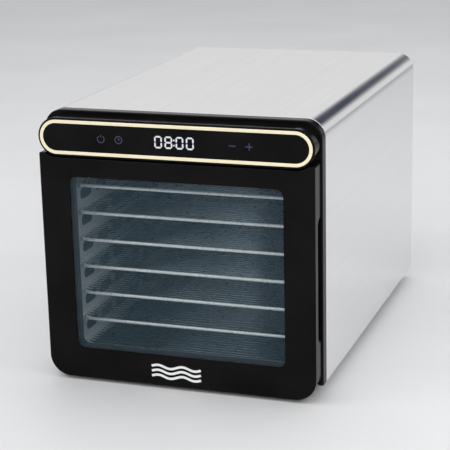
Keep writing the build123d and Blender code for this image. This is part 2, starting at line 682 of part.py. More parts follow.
write(motor_bracket.part, "motor_bracket")

with BuildPart() as fan_motor:
    with Locations((0, MOTOR_FRONT, FAN_Z)):
        Cylinder(MOTOR_RADIUS, MOTOR_LENGTH, rotation=TO_REAR, align=ON_TOP)
    fillet(fan_motor.edges().group_by(Axis.Y)[-1], 4)
    with BuildSketch(upright(MOTOR_FRONT + CORE_START + CORE_LENGTH)):
        with Locations((0, FAN_Z)):
            RectangleRounded(*CORE_SIZE, 4)
            Circle(MOTOR_RADIUS - 1, mode=Mode.SUBTRACT)
    extrude(amount=CORE_LENGTH)
    with Locations((0, MOTOR_FRONT, FAN_Z)):
        Cylinder(SHAFT_RADIUS + SHAFT_CLEARANCE, BEARING_DEPTH, rotation=TO_REAR, align=ON_TOP,
                 mode=Mode.SUBTRACT)
    with Locations(*MOTOR_SCREW_SPOTS):
        Cylinder(SCREW_RADIUS, 24, rotation=TO_REAR, mode=Mode.SUBTRACT)
write(fan_motor.part, "fan_motor")
write(screws(MOTOR_SCREW_SPOTS, TO_FRONT, (3.0, 1.8), (SCREW_RADIUS, 9)), "motor_screws")
write(screws(BRACKET_FEET, TO_REAR, (3.0, 2.0), (SCREW_RADIUS, 2)), "bracket_screws")

# ---------------------------------------------------------------- heater
HEATER_SWEEP = 330.0
HEATER_START = -90.0 + (360.0 - HEATER_SWEEP) / 2
HEATER_TAIL = 34.0
TERMINAL_RADIUS = 4.6
CLIP_ANGLES = [35, 145, 215, 325]
CLIP_RADIUS = 5.0
HEATER_AXIS = Axis((0, HEATER_Y, FAN_Z), (0, -1, 0))
HEATER_ENDS = [radians(HEATER_START), radians(HEATER_START + HEATER_SWEEP)]


def heater_ring(angle):
    """Plane across the heater rod where the ring passes this angle."""
    return Plane(
        origin=(HEATER_RADIUS * cos(angle), HEATER_Y, FAN_Z + HEATER_RADIUS * sin(angle)),
        x_dir=(cos(angle), 0, sin(angle)),
        z_dir=(-sin(angle), 0, cos(angle)),
    )


with BuildPart() as heater_element:
    with BuildSketch(heater_ring(HEATER_ENDS[0])):
        Circle(HEATER_ROD)
    revolve(axis=HEATER_AXIS, revolution_arc=HEATER_SWEEP)
    for end in HEATER_ENDS:
        with Locations(heater_ring(end).origin - Vector(0, TERMINAL_RADIUS, 0)):
            Cylinder(TERMINAL_RADIUS, HEATER_TAIL, rotation=TO_REAR, align=ON_TOP)
write(heater_element.part, "heater_element")

with BuildPart() as heater_clips:
    for degrees in CLIP_ANGLES:
        angle = radians(degrees)
        spot = (HEATER_RADIUS * cos(angle), BRACKET_FRONT - RAISE, FAN_Z + HEATER_RADIUS * sin(angle))
        with Locations(spot):
            Cylinder(CLIP_RADIUS, HEATER_Y - spot[1] - HEATER_ROD, rotation=TO_REAR, align=ON_TOP)
write(heater_clips.part, "heater_clips")

CUTOUT_PLATE = (34.0, 1.5, 14.0)
CUTOUT_CAN = (8.0, 9.0)
CUTOUT_TAB = (1.0, 8.0, 5.0)

with BuildPart() as thermal_cutout:
    with Locations(CUTOUT):
        Box(*CUTOUT_PLATE, align=BEHIND)
        Cylinder(*CUTOUT_CAN, rotation=TO_REAR, align=ON_TOP)
    for side in (-1, 1):
        with Locations((CUTOUT[0] + side * 4, CUTOUT[1] + CUTOUT_CAN[1], CUTOUT[2])):
            Box(*CUTOUT_TAB, align=BEHIND)
write(thermal_cutout.part, "thermal_cutout")

with BuildPart() as temperature_probe:
    with Locations(PROBE):
        Cylinder(PROBE_RADIUS, PROBE_LENGTH, rotation=TO_REAR)
        Cylinder(PROBE_RADIUS + 3, PROBE_RADIUS, rotation=TO_FRONT, align=ON_TOP)
    fillet(temperature_probe.faces().sort_by(Axis.Y)[0].edges(), 1.2)
write(temperature_probe.part, "temperature_probe")

# ---------------------------------------------------------------- power electronics above the chamber
CEILING = CHAMBER_TOP + SHEET
BOARD_Z = CEILING + 8.0
BOARD_TOP = BOARD_Z + BOARD_THICKNESS
BOARD_CENTRE = (70.0, -40.0)
BOARD_SIZE = (120.0, 150.0)
STANDOFF_INSET = 12.0
STANDOFF_RADIUS = 3.5
CAPACITOR = (7.0, 20.0)
CAPACITOR_SPOTS = [(46, -84, BOARD_TOP), (66, -84, BOARD_TOP)]
TERMINAL_BLOCK = (30.0, 16.0, 12.0)
TRANSFORMER_SIZE = (40.0, 34.0, 30.0)
RELAY_SIZE = (16.0, 28.0, 22.0)

with BuildPart() as board_standoffs:
    with BuildSketch(Plane.XY.offset(CEILING)):
        with Locations(BOARD_CENTRE):
            with GridLocations(BOARD_SIZE[0] - STANDOFF_INSET, BOARD_SIZE[1] - STANDOFF_INSET, 2, 2):
                Circle(STANDOFF_RADIUS)
    extrude(amount=BOARD_Z - CEILING)
write(board_standoffs.part, "board_standoffs")

with BuildPart() as power_board:
    with BuildSketch(Plane.XY.offset(BOARD_Z)):
        with Locations(BOARD_CENTRE):
            RectangleRounded(*BOARD_SIZE, 3)
    extrude(amount=BOARD_THICKNESS)
    with Locations(*CAPACITOR_SPOTS):
        Cylinder(*CAPACITOR, align=ON_TOP)
    with Locations((100, 10, BOARD_TOP)):
        Box(*TERMINAL_BLOCK, align=ON_TOP)
write(power_board.part, "power_board")

with BuildPart() as transformer:
    with Locations((54, -30, BOARD_TOP)):
        Box(*TRANSFORMER_SIZE, align=ON_TOP)
    fillet(transformer.edges().filter_by(Axis.Z), 2)
write(transformer.part, "transformer")

with BuildPart() as relay:
    with Locations((106, -60, BOARD_TOP)):
        Box(*RELAY_SIZE, align=ON_TOP)
    fillet(relay.edges().filter_by(Axis.Z), 1)
write(relay.part, "relay")

LEAD_RADIUS = 1.6
LEADS = {
    "fan_lead": [(40, 36, 282), (34, 90, 290), (20, DUCT_REAR, 286), (8, DUCT_REAR + 28, 250),
                 (0, DUCT_REAR + 36, FAN_Z + 32)],
    "heater_lead": [(100, 36, 282), (106, 90, 292), (118, DUCT_REAR, 280), (120, DUCT_REAR + 16, 240),
                    (118, DUCT_REAR - 3, 226)],
    "display_lead": [(20, -116, 284), (14, -150, 296), (4, -190, 302), (-10, FASCIA_FRONT + 20, 301)],
}
for name, route in LEADS.items():
    points = [Vector(*point) for point in route]
    runs = [(after - before).length for before, after in zip(points, points[1:])]
    radii = []
    for index in range(1, len(points) - 1):
        turn = (points[index] - points[index - 1]).get_angle(points[index + 1] - points[index])
        half_turn = radians(turn / 2)
        radii.append(0.45 * min(runs[index - 1], runs[index]) * cos(half_turn) / sin(half_turn))
    print(name, "bend radii", [round(radius, 1) for radius in radii])
    with BuildPart() as lead:
        with BuildLine() as path:
            FilletPolyline(*points, radius=radii)
        with BuildSketch(Plane(origin=path.line @ 0, z_dir=path.line % 0)):
            Circle(LEAD_RADIUS)
        sweep(path=path.line)
    write(lead.part, name)

# ---------------------------------------------------------------- door
POCKET_HEIGHT = ARM_THICKNESS + 2 * ARM_CLEARANCE
POCKET_FRONT = HINGE_Y - 6.8
POCKET_RIGHT = HINGE_X + 4.6
DOOR_SOLID_TOP = 269.0
DOOR_SCREW_HEAD = (2.6, 1.3)
EAR_RIGHT = -140.0
EAR_TOP = FASCIA_Z - FASCIA_HEIGHT / 2 - 0.6
GRIP_LEFT = DOOR_WIDTH / 2 - GRIP_DEPTH
GRIP_FRONT = DOOR_REAR - 13.0
DOOR_SCREWS = [(side * 158.0, DOOR_REAR, z) for side in (-1, 1) for z in (64, 262)]
DOOR_SCREWS += [(side * 80.0, DOOR_REAR, z) for side in (-1, 1) for z in (9.8, 271.2)]

with BuildSketch() as door_outline:
    add(outline(DOOR_WIDTH, DOOR_LOW, DOOR_HIGH, 2.0, DOOR_CORNER))
    with Locations((0, FASCIA_Z)):
        SlotOverall(FASCIA_WIDTH + 2 * FASCIA_GAP, FASCIA_HEIGHT + 2 * FASCIA_GAP, mode=Mode.SUBTRACT)


def window(margin):
    """Window outline, grown by margin."""
    corner = max(WINDOW_CORNER - margin, 4.0)
    return outline(WINDOW_WIDTH + 2 * margin, WINDOW_LOW - margin, WINDOW_HIGH + margin, corner, corner)


with BuildSketch() as door_hollow:
    add(outline(DOOR_WIDTH - 2 * DOOR_WALL, DOOR_LOW + DOOR_WALL, DOOR_SOLID_TOP, DOOR_WALL,
                DOOR_CORNER - DOOR_WALL))
    add(window(GLASS_MARGIN + 3.0), mode=Mode.SUBTRACT)
    for level in HINGE_LEVELS:
        with Locations((HINGE_X + 2, level)):
            Rectangle(24, PIN_LENGTH + 8, mode=Mode.SUBTRACT)
    with Locations((DOOR_WIDTH / 2 - 10, (GRIP_LOW + GRIP_HIGH) / 2)):
        Rectangle(28, GRIP_HIGH - GRIP_LOW + 8, mode=Mode.SUBTRACT)
    with Locations(*[(x, z) for x, y, z in DOOR_SCREWS]):
        Circle(4, mode=Mode.SUBTRACT)


# Grip in the free edge, a pocket round each hinge arm, open to the left and to the rear, and a step in the
# hinged side's upper corner, behind the hinge line, where it turns in under the fascia.
with BuildPart() as door_pockets:
    with BuildSketch(Plane.YZ.offset(GRIP_LEFT)):
        with Locations(((GRIP_FRONT + DOOR_REAR) / 2 + 10, (GRIP_LOW + GRIP_HIGH) / 2)):
            RectangleRounded(DOOR_REAR - GRIP_FRONT + 20, GRIP_HIGH - GRIP_LOW, 9)
    extrude(amount=GRIP_DEPTH + 4)
    for level in HINGE_LEVELS:
        with Locations((POCKET_RIGHT, POCKET_FRONT, level)):
            Box(30, 40, POCKET_HEIGHT, align=(Align.MAX, Align.MIN, Align.CENTER))
        with Locations((HINGE_X, HINGE_Y, level)):
            Cylinder(PIN_RADIUS, PIN_LENGTH)
    with Locations((EAR_RIGHT, HINGE_Y, EAR_TOP)):
        Box(40, 40, 20, align=(Align.MAX, Align.MIN, Align.MIN))

with BuildPart() as door_frame:
    with BuildSketch(upright(DOOR_SPLIT)):
        add(door_outline.sketch)
    extrude(amount=DOOR_SPLIT - FRONT)
    fillet(door_frame.faces().sort_by(Axis.Y)[0].edges(), 1.2)
    with BuildSketch(upright(DOOR_SPLIT)):
        add(window(0))
    extrude(amount=DOOR_SPLIT - FRONT, mode=Mode.SUBTRACT)
    with BuildSketch(upright(DOOR_SPLIT)):
        add(window(GLASS_MARGIN + 0.5))
    extrude(amount=DOOR_SPLIT - GLASS_FRONT, mode=Mode.SUBTRACT)
    with BuildSketch(upright(DOOR_SPLIT)):
        add(door_hollow.sketch)
    extrude(amount=DOOR_SPLIT - FRONT - DOOR_WALL, mode=Mode.SUBTRACT)
    add(door_pockets.part, mode=Mode.SUBTRACT)
    with Locations(*DOOR_SCREWS):
        Cylinder(PILOT_RADIUS, 22, rotation=TO_REAR, mode=Mode.SUBTRACT)
write(door_frame.part, "door_frame")

with BuildPart() as door_back_frame:
    with BuildSketch(upright(DOOR_REAR)):
        add(door_outline.sketch)
        add(window(1.5), mode=Mode.SUBTRACT)
    extrude(amount=BACK_FRAME_THICKNESS)
    rear_edges = door_back_frame.faces().sort_by(Axis.Y)[-1].outer_wire().edges()
    fillet(rear_edges.filter_by(Axis.Z).sort_by(Axis.X)[0], 2.6)
    with BuildSketch(upright(DOOR_SPLIT)):
        add(window(4.0))
        add(window(1.5), mode=Mode.SUBTRACT)
    extrude(amount=DOOR_SPLIT - GLASS_REAR)
    with BuildSketch(upright(DOOR_REAR)):
        add(outline(2 * SEAL_HALF, SEAL_LOW, SEAL_HIGH, 10, 6))
        add(outline(2 * (SEAL_HALF - SEAL_WIDTH), SEAL_LOW + SEAL_WIDTH, SEAL_HIGH - SEAL_WIDTH, 6, 2),
            mode=Mode.SUBTRACT)
        with Locations(*[(MAGNET_X, level) for level in MAGNET_LEVELS]):
            Rectangle(*MAGNET_SIZE)
    extrude(amount=SEAL_GROOVE, mode=Mode.SUBTRACT)
    add(door_pockets.part, mode=Mode.SUBTRACT)
    with Locations(*DOOR_SCREWS):
        Cylinder(DOOR_SCREW_HEAD[0] + SEAT_GAP, DOOR_SCREW_HEAD[1], rotation=TO_REAR, align=BELOW,
                 mode=Mode.SUBTRACT)
        Cylinder(PILOT_RADIUS, 22, rotation=TO_REAR, mode=Mode.SUBTRACT)
write(door_back_frame.part, "door_back_frame")

with BuildPart() as door_window:
    with BuildSketch(upright(GLASS_REAR)):
        add(window(GLASS_MARGIN))
    extrude(amount=GLASS_THICKNESS)
write(door_window.part, "door_window")

with BuildPart() as door_seal:
    with BuildSketch(upright(DOOR_REAR + SEAL_PROUD)):
        add(outline(2 * SEAL_HALF, SEAL_LOW, SEAL_HIGH, 10, 6))
        add(outline(2 * (SEAL_HALF - SEAL_WIDTH), SEAL_LOW + SEAL_WIDTH, SEAL_HIGH - SEAL_WIDTH, 6, 2),
            mode=Mode.SUBTRACT)
    extrude(amount=SEAL_PROUD + SEAL_GROOVE)
write(door_seal.part, "door_seal")

with BuildPart() as door_magnets:
    with BuildSketch(upright(DOOR_REAR - SEAL_GROOVE + MAGNET_THICKNESS)):
        with Locations(*[(MAGNET_X, level) for level in MAGNET_LEVELS]):
            Rectangle(*MAGNET_SIZE)
    extrude(amount=MAGNET_THICKNESS)
write(door_magnets.part, "door_magnets")
DOOR_SUNK = [(x, y - DOOR_SCREW_HEAD[1], z) for x, y, z in DOOR_SCREWS]
write(screws(DOOR_SUNK, TO_REAR, DOOR_SCREW_HEAD, (PILOT_RADIUS, 8)), "door_screws")

# ---------------------------------------------------------------- hinges
with BuildPart() as hinge_brackets:
    for level in HINGE_LEVELS:
        with BuildSketch(upright(BEZEL_FRONT + LEAF_THICKNESS)):
            with Locations((LEAF_X, level)):
                Rectangle(LEAF_WIDTH, LEAF_HEIGHT)
            with Locations(*[(x, z) for x, y, z in HINGE_SCREWS]):
                Circle(PILOT_RADIUS, mode=Mode.SUBTRACT)
        extrude(amount=LEAF_THICKNESS)
        with BuildSketch(Plane.XY.offset(level - ARM_THICKNESS / 2)):
            with Locations((HINGE_X, (HINGE_Y + BEZEL_FRONT + LEAF_THICKNESS) / 2)):
                Rectangle(2 * ARM_HALF, BEZEL_FRONT + LEAF_THICKNESS - HINGE_Y)
            with Locations((HINGE_X, HINGE_Y)):
                Circle(ARM_HALF)
                Circle(PIN_RADIUS + PIN_CLEARANCE, mode=Mode.SUBTRACT)
        extrude(amount=ARM_THICKNESS)
write(hinge_brackets.part, "hinge_brackets")

with BuildPart() as hinge_pins:
    for level in HINGE_LEVELS:
        with Locations((HINGE_X, HINGE_Y, level)):
            Cylinder(PIN_RADIUS, PIN_LENGTH)
    chamfer(hinge_pins.edges().filter_by(GeomType.CIRCLE), 0.4)
write(hinge_pins.part, "hinge_pins")
HINGE_HEAD = (PILOT_RADIUS - 0.01, 0.9)
HINGE_HEADS = [(x, y + HINGE_HEAD[1], z) for x, y, z in HINGE_SCREWS]
write(screws(HINGE_HEADS, TO_FRONT, HINGE_HEAD, (PILOT_RADIUS - 0.01, 7)), "hinge_screws")

# ---------------------------------------------------------------- trays
TRAY_CENTRE_Y = (TRAY_FRONT + TRAY_REAR) / 2
TRAY_DEPTH = TRAY_REAR - TRAY_FRONT
ROD_LINE = TRAY_HALF - TRAY_ROD
MESH_HALF = ROD_LINE - 0.6
MESH_DEPTH = TRAY_DEPTH - 2 * TRAY_ROD - 2 * (ROD_LINE - MESH_HALF)
MESH_LOW = TRAY_ROD - MESH_WIRE

with BuildPart() as tray_blank:
    with BuildLine() as rim:
        FilletPolyline(
            (-ROD_LINE, TRAY_FRONT + TRAY_ROD),
            (ROD_LINE, TRAY_FRONT + TRAY_ROD),
            (ROD_LINE, TRAY_REAR - TRAY_ROD),
            (-ROD_LINE, TRAY_REAR - TRAY_ROD),
            radius=TRAY_CORNER - TRAY_ROD,
            close=True,
        )
    with BuildSketch(Plane(origin=rim.line @ 0, z_dir=rim.line % 0)):
        Circle(TRAY_ROD)
    sweep(path=rim.line)
    for y in CROSS_ROD_Y:
        with Locations((0, y, MESH_LOW - CROSS_ROD + WELD)):
            Cylinder(CROSS_ROD, 2 * ROD_LINE, rotation=(0, 90, 0))
    with BuildSketch(Plane.XY.offset(MESH_LOW)):
        with Locations((0, TRAY_CENTRE_Y)):
            RectangleRounded(2 * MESH_HALF, MESH_DEPTH, TRAY_CORNER - TRAY_ROD)
            with GridLocations(MESH_PITCH, MESH_PITCH, MESH_COLUMNS, MESH_ROWS):
                Rectangle(MESH_PITCH - MESH_WIRE, MESH_PITCH - MESH_WIRE, mode=Mode.SUBTRACT)
    extrude(amount=MESH_WIRE)

for number, level in enumerate(TRAY_LEVELS, start=1):
    with BuildPart() as tray:
        with Locations((0, 0, level)):
            add(tray_blank.part)
    write(tray.part, "tray_" + str(number))

DRIP_LOW = CHAMBER_FLOOR + RUNNING_GAP
DRIP_HEIGHT = 4.8
DRIP_SHEET = 0.6
DRIP_WIDTH = 2 * TRAY_HALF - 4
DRIP_CORNER = 8.0
DRIP_INNER_DEPTH = TRAY_DEPTH - 2 * DRIP_SHEET

with BuildPart() as drip_tray:
    with BuildSketch(Plane.XY.offset(DRIP_LOW)):
        with Locations((0, TRAY_CENTRE_Y)):
            RectangleRounded(DRIP_WIDTH, TRAY_DEPTH, DRIP_CORNER)
    extrude(amount=DRIP_HEIGHT)
    fillet(drip_tray.edges().group_by(Axis.Z)[0], 1.5)
    with BuildSketch(Plane.XY.offset(DRIP_LOW + DRIP_SHEET)):
        with Locations((0, TRAY_CENTRE_Y)):
            RectangleRounded(DRIP_WIDTH - 2 * DRIP_SHEET, DRIP_INNER_DEPTH, DRIP_CORNER - DRIP_SHEET)
    extrude(amount=DRIP_HEIGHT, mode=Mode.SUBTRACT)
write(drip_tray.part, "drip_tray")
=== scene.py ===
"""Looks of the food dehydrator: materials, wire racks, fan, motor, controls, printed marks and the studio."""
import json
from math import cos, pi, radians, sin, tau

import bmesh
import bpy
from mathutils import Matrix, Vector


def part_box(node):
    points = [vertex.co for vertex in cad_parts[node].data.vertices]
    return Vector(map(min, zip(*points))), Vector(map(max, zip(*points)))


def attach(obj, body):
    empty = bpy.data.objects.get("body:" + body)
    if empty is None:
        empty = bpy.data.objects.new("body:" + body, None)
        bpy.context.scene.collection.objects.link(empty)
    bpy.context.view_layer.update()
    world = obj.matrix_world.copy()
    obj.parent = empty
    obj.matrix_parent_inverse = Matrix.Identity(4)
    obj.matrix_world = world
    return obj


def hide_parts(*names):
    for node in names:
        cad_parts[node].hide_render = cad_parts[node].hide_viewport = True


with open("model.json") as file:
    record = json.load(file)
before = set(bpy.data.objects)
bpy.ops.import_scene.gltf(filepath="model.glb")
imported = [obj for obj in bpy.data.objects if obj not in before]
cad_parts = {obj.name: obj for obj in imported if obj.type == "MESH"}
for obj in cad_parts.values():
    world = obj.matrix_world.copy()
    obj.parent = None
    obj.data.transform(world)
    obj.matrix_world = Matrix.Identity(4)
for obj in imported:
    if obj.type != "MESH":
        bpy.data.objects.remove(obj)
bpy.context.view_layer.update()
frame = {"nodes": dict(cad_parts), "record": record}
MM = 0.001
RIGHT, UP = Vector((1, 0, 0)), Vector((0, 0, 1))


# ---------------------------------------------------------------- material helpers
class Look:
    """A material under construction: its node tree, its shader and the object-space coordinates."""

    def __init__(self, name, base, metallic=0.0, roughness=0.5, ior=1.5):
        self.material = bpy.data.materials.new(name)
        self.material.use_nodes = True
        self.tree = self.material.node_tree
        self.shader = self.tree.nodes["Principled BSDF"]
        self.place = self.tree.nodes.new("ShaderNodeTexCoord").outputs["Object"]
        self.shader.inputs["Base Color"].default_value = (*base[:3], 1)
        self.shader.inputs["Metallic"].default_value = metallic
        self.shader.inputs["Roughness"].default_value = roughness
        self.shader.inputs["IOR"].default_value = ior

    def link(self, output, socket):
        self.tree.links.new(output, socket)

    def noise(self, scale, detail=3.0, roughness=0.55, stretch=(1, 1, 1)):
        """Noise over the object, scale in features per metre, stretched along the axes."""
        mapping = self.tree.nodes.new("ShaderNodeMapping")
        mapping.inputs["Scale"].default_value = stretch
        texture = self.tree.nodes.new("ShaderNodeTexNoise")
        texture.inputs["Scale"].default_value = scale
        texture.inputs["Detail"].default_value = detail
        texture.inputs["Roughness"].default_value = roughness
        self.link(self.place, mapping.inputs["Vector"])
        self.link(mapping.outputs["Vector"], texture.inputs["Vector"])
        return texture.outputs["Fac"]

    def spread(self, value, low, high, start=0.3, end=0.7):
        """The value, mapped from start..end onto low..high."""
        node = self.tree.nodes.new("ShaderNodeMapRange")
        node.inputs["From Min"].default_value = start
        node.inputs["From Max"].default_value = end
        node.inputs["To Min"].default_value = low
        node.inputs["To Max"].default_value = high
        self.link(value, node.inputs["Value"])
        return node.outputs["Result"]

    def tint(self, value, stops):
        """Base colour from a ramp of (position, colour) driven by value."""
        ramp = self.tree.nodes.new("ShaderNodeValToRGB")
        elements = ramp.color_ramp.elements
        while len(elements) < len(stops):
            elements.new(0.5)
        for element, (position, colour) in zip(elements, stops):
            element.position = position
            element.color = (*colour[:3], 1)
        self.link(value, ramp.inputs["Fac"])
        self.link(ramp.outputs["Color"], self.shader.inputs["Base Color"])

    def rough(self, value, low, high):
        """Roughness from low to high, driven by value."""
        self.link(self.spread(value, low, high), self.shader.inputs["Roughness"])

    def bump(self, value, strength, distance):
        """Relief of the surface, distance in metres, driven by value."""
        node = self.tree.nodes.new("ShaderNodeBump")
        node.inputs["Strength"].default_value = strength
        node.inputs["Distance"].default_value = distance
        self.link(value, node.inputs["Height"])
        self.link(node.outputs["Normal"], self.shader.inputs["Normal"])

    def glow(self, colour, strength):
        self.shader.inputs["Emission Color"].default_value = (*colour, 1)
        self.shader.inputs["Emission Strength"].default_value = strength


def grained_steel(name, dark, light, rough, stretch, grain, bump=0.05, detail=4, octave=0.55):
    """Satin sheet with grain along the axis whose stretch is small; grain is in streaks per metre."""
    look = Look(name, light, metallic=1.0, roughness=sum(rough) / 2)
    grain_value = look.noise(grain, detail, octave, stretch)
    look.tint(grain_value, [(0.3, dark), (0.7, light)])
    look.rough(look.noise(9, detail=5), *rough)
    look.bump(grain_value, bump, 0.00008)
    return look.material


def stainless_wrap():
    """Fine satin sheet: grain drawn from front to back, with a faint cloudiness in its gloss."""
    return grained_steel("satin_stainless", (0.8, 0.8, 0.805), (0.88, 0.88, 0.885), (0.12, 0.18),
                         stretch=(1, 0.008, 1), grain=230, bump=0.025, detail=8, octave=0.8)


def chamber_steel():
    """The liner's sheet, duller than the casing's; its colour is darkened to a dull blue-grey, painted shade
    of the dim chamber behind the tinted door.
    """
    return grained_steel("chamber_steel", (0.17, 0.23, 0.275), (0.25, 0.315, 0.36), (0.28, 0.4),
                         stretch=(1, 0.03, 1), grain=420)


def rail_steel():
    """The rails' sheet: the same steel as the liner, coloured pale cyan-white as its lit copy, a painted
    highlight against the liner's painted shade.
    """
    return plated("rail_steel", (0.8, 0.87, 0.9), (0.92, 0.97, 1.0), (0.3, 0.42), metallic=0.35)


def galvanised_sheet():
    """Zinc-coated sheet with its crystal pattern."""
    look = Look("galvanised_sheet", (0.5, 0.52, 0.54), metallic=0.9, roughness=0.45)
    spangle = look.tree.nodes.new("ShaderNodeTexVoronoi")
    spangle.inputs["Scale"].default_value = 90
    look.link(look.place, spangle.inputs["Vector"])
    look.tint(spangle.outputs["Distance"], [(0.0, (0.40, 0.42, 0.44)), (0.8, (0.60, 0.62, 0.64))])
    look.rough(spangle.outputs["Distance"], 0.36, 0.52)
    look.bump(spangle.outputs["Distance"], 0.08, 0.0001)
    return look.material


def black_gloss():
    """Polished moulding: a faint haze and slight sink, so that its reflections soften in places."""
    look = Look("black_gloss", (0.005, 0.0045, 0.005), roughness=0.1, ior=1.25)
    look.shader.inputs["Specular IOR Level"].default_value = 0.2
    haze = look.noise(14, detail=6)
    look.tint(haze, [(0.3, (0.003, 0.0025, 0.0028)), (0.75, (0.007, 0.006, 0.0065))])
    look.rough(haze, 0.06, 0.15)
    look.bump(look.noise(38, detail=2), 0.02, 0.0004)
    return look.material


def black_moulding():
    """Matt moulding with a fine eroded texture."""
    look = Look("black_moulding", (0.03, 0.03, 0.032), roughness=0.5)
    texture = look.noise(2600, detail=2)
    look.tint(look.noise(20), [(0.3, (0.024, 0.024, 0.026)), (0.7, (0.038, 0.038, 0.04))])
    look.rough(texture, 0.42, 0.6)
    look.bump(texture, 0.25, 0.00012)
    return look.material


def champagne_trim():
    """Pale gold satin ring, drawn along its length."""
    look = Look("champagne_trim", (0.98, 0.9, 0.65), metallic=0.35, roughness=0.3)
    grain = look.noise(700, detail=3, stretch=(0.03, 1, 1))
    look.tint(grain, [(0.3, (0.87, 0.78, 0.53)), (0.7, (0.92, 0.86, 0.64))])
    look.rough(grain, 0.24, 0.36)
    look.bump(grain, 0.04, 0.00005)
    return look.material


def tinted_glass():
    """Thin pane: mostly clear, with a cool grey tint and a polished surface."""
    look = Look("tinted_glass", (0.03, 0.068, 0.095), roughness=0.03, ior=1.5)
    smear = look.noise(6, detail=6)
    look.tint(smear, [(0.35, (0.025, 0.06, 0.085)), (0.7, (0.036, 0.076, 0.105))])
    look.rough(smear, 0.02, 0.07)
    look.shader.inputs["Alpha"].default_value = 0.19
    return look.material


def silicone_seal():
    """Dull rubbery strip with a slight bloom."""
    look = Look("silicone_seal", (0.09, 0.09, 0.095), roughness=0.62)
    bloom = look.noise(60, detail=5)
    look.tint(bloom, [(0.3, (0.07, 0.07, 0.075)), (0.75, (0.12, 0.12, 0.125))])
    look.rough(bloom, 0.5, 0.75)
    look.bump(look.noise(1800), 0.1, 0.0001)
    return look.material


def rear_coated():
    """Powder coat: a fine orange peel."""
    look = Look("powder_coat", (0.1, 0.1, 0.105), roughness=0.5)
    peel = look.noise(1100, detail=2)
    look.tint(look.noise(15, detail=5), [(0.3, (0.085, 0.085, 0.09)), (0.75, (0.115, 0.115, 0.12))])
    look.rough(peel, 0.4, 0.58)
    look.bump(peel, 0.3, 0.00015)
    return look.material


def tray_wire():
    """Drawn wire of the racks' grids, its colour darkened to a dull blue-grey: painted shade inside the
    chamber; the racks' outer rods are the same wire in a brighter colour.
    """
    look = Look("tray_wire", (0.26, 0.32, 0.36), metallic=1.0, roughness=0.3)
    draw = look.noise(160, detail=4)
    look.tint(draw, [(0.3, (0.22, 0.28, 0.32)), (0.7, (0.3, 0.36, 0.4))])
    look.rough(draw, 0.24, 0.38)
    look.bump(draw, 0.04, 0.0001)
    return look.material


def plated(name, dark, light, rough=(0.22, 0.4), metallic=1.0):
    """Bright plated or bare metal with faint staining."""
    look = Look(name, light, metallic=metallic, roughness=sum(rough) / 2)
    stain = look.noise(260, detail=5)
    look.tint(stain, [(0.3, dark), (0.7, light)])
    look.rough(stain, *rough)
    look.bump(stain, 0.06, 0.0001)
    return look.material


def mottled(name, dark, light, rough, scale=140, bump=0.1, metallic=0.0):
    """Plain moulded or coated surface with a little colour and gloss variation."""
    look = Look(name, light, metallic=metallic, roughness=sum(rough) / 2)
    mottle = look.noise(scale, detail=5)
    look.tint(mottle, [(0.3, dark), (0.72, light)])
    look.rough(mottle, *rough)
    look.bump(mottle, bump, 0.0001)
    return look.material


MATERIALS = {
    "stainless_wrap": stainless_wrap(),
    "black_gloss": black_gloss(),
    "black_moulding": black_moulding(),
    "champagne_trim": champagne_trim(),
    "tinted_glass": tinted_glass(),
    "silicone_seal": silicone_seal(),
    "chamber_steel": chamber_steel(),
    "galvanised_sheet": galvanised_sheet(),
    "rear_coated": rear_coated(),
    "tray_wire": tray_wire(),
    "zinc_fastener": plated("zinc_plate", (0.52, 0.53, 0.55), (0.7, 0.71, 0.72)),
    "fan_aluminium": plated("fan_aluminium", (0.62, 0.63, 0.65), (0.76, 0.77, 0.78), (0.3, 0.45)),
    "motor_steel": mottled("motor_steel", (0.1, 0.105, 0.11), (0.2, 0.21, 0.22), (0.35, 0.55), metallic=0.7),
    "heater_sheath": mottled("heater_sheath", (0.16, 0.13, 0.12), (0.36, 0.32, 0.3), (0.4, 0.6),
                             scale=60, metallic=0.8),
    "ceramic": mottled("ceramic", (0.72, 0.69, 0.62), (0.86, 0.84, 0.79), (0.55, 0.75)),
    "circuit_board": mottled("circuit_board", (0.02, 0.12, 0.05), (0.03, 0.17, 0.08), (0.25, 0.4), scale=90),
    "display_grey": mottled("display_grey", (0.1, 0.105, 0.11), (0.16, 0.165, 0.17), (0.35, 0.5)),
    "lead_insulation": mottled("lead_insulation", (0.02, 0.02, 0.02), (0.045, 0.045, 0.045), (0.45, 0.6)),
    "magnet": plated("magnet", (0.2, 0.2, 0.21), (0.32, 0.32, 0.33)),
    "foot_rubber": mottled("foot_rubber", (0.02, 0.02, 0.02), (0.05, 0.05, 0.05), (0.7, 0.9),
                           scale=320, bump=0.25),
}

# The racks' outer rods in a pale cyan-white, brighter than the grid of the same wire: painted highlight.
RIM_WIRE_PAINTED_HIGHLIGHT = plated("rim_wire_painted_highlight", (0.88, 0.98, 1.0), (0.94, 1.0, 1.0), (0.24, 0.36), metallic=0.25)
RAIL_STEEL = rail_steel()

SLOT_OF = {part["node"]: part["material_slot"] for part in frame["record"]["subparts"]}
for node, cad_object in frame["nodes"].items():
    cad_object.data.materials.clear()
    cad_object.data.materials.append(RAIL_STEEL if node.endswith("_rail") else MATERIALS[SLOT_OF[node]])


# ---------------------------------------------------------------- mesh helpers
def piece(name, mesh_data, material, body, smooth=True):
    """Turn a bmesh into a named object, which rides on a body unless that is None."""
    bmesh.ops.recalc_face_normals(mesh_data, faces=mesh_data.faces)
    mesh = bpy.data.meshes.new(name)
    mesh_data.to_mesh(mesh)
    mesh_data.free()
    mesh.polygons.foreach_set("use_smooth", [smooth] * len(mesh.polygons))
    mesh.materials.append(material)
    made = bpy.data.objects.new(name, mesh)
    bpy.context.scene.collection.objects.link(made)
    if body:
        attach(made, body)
    return made


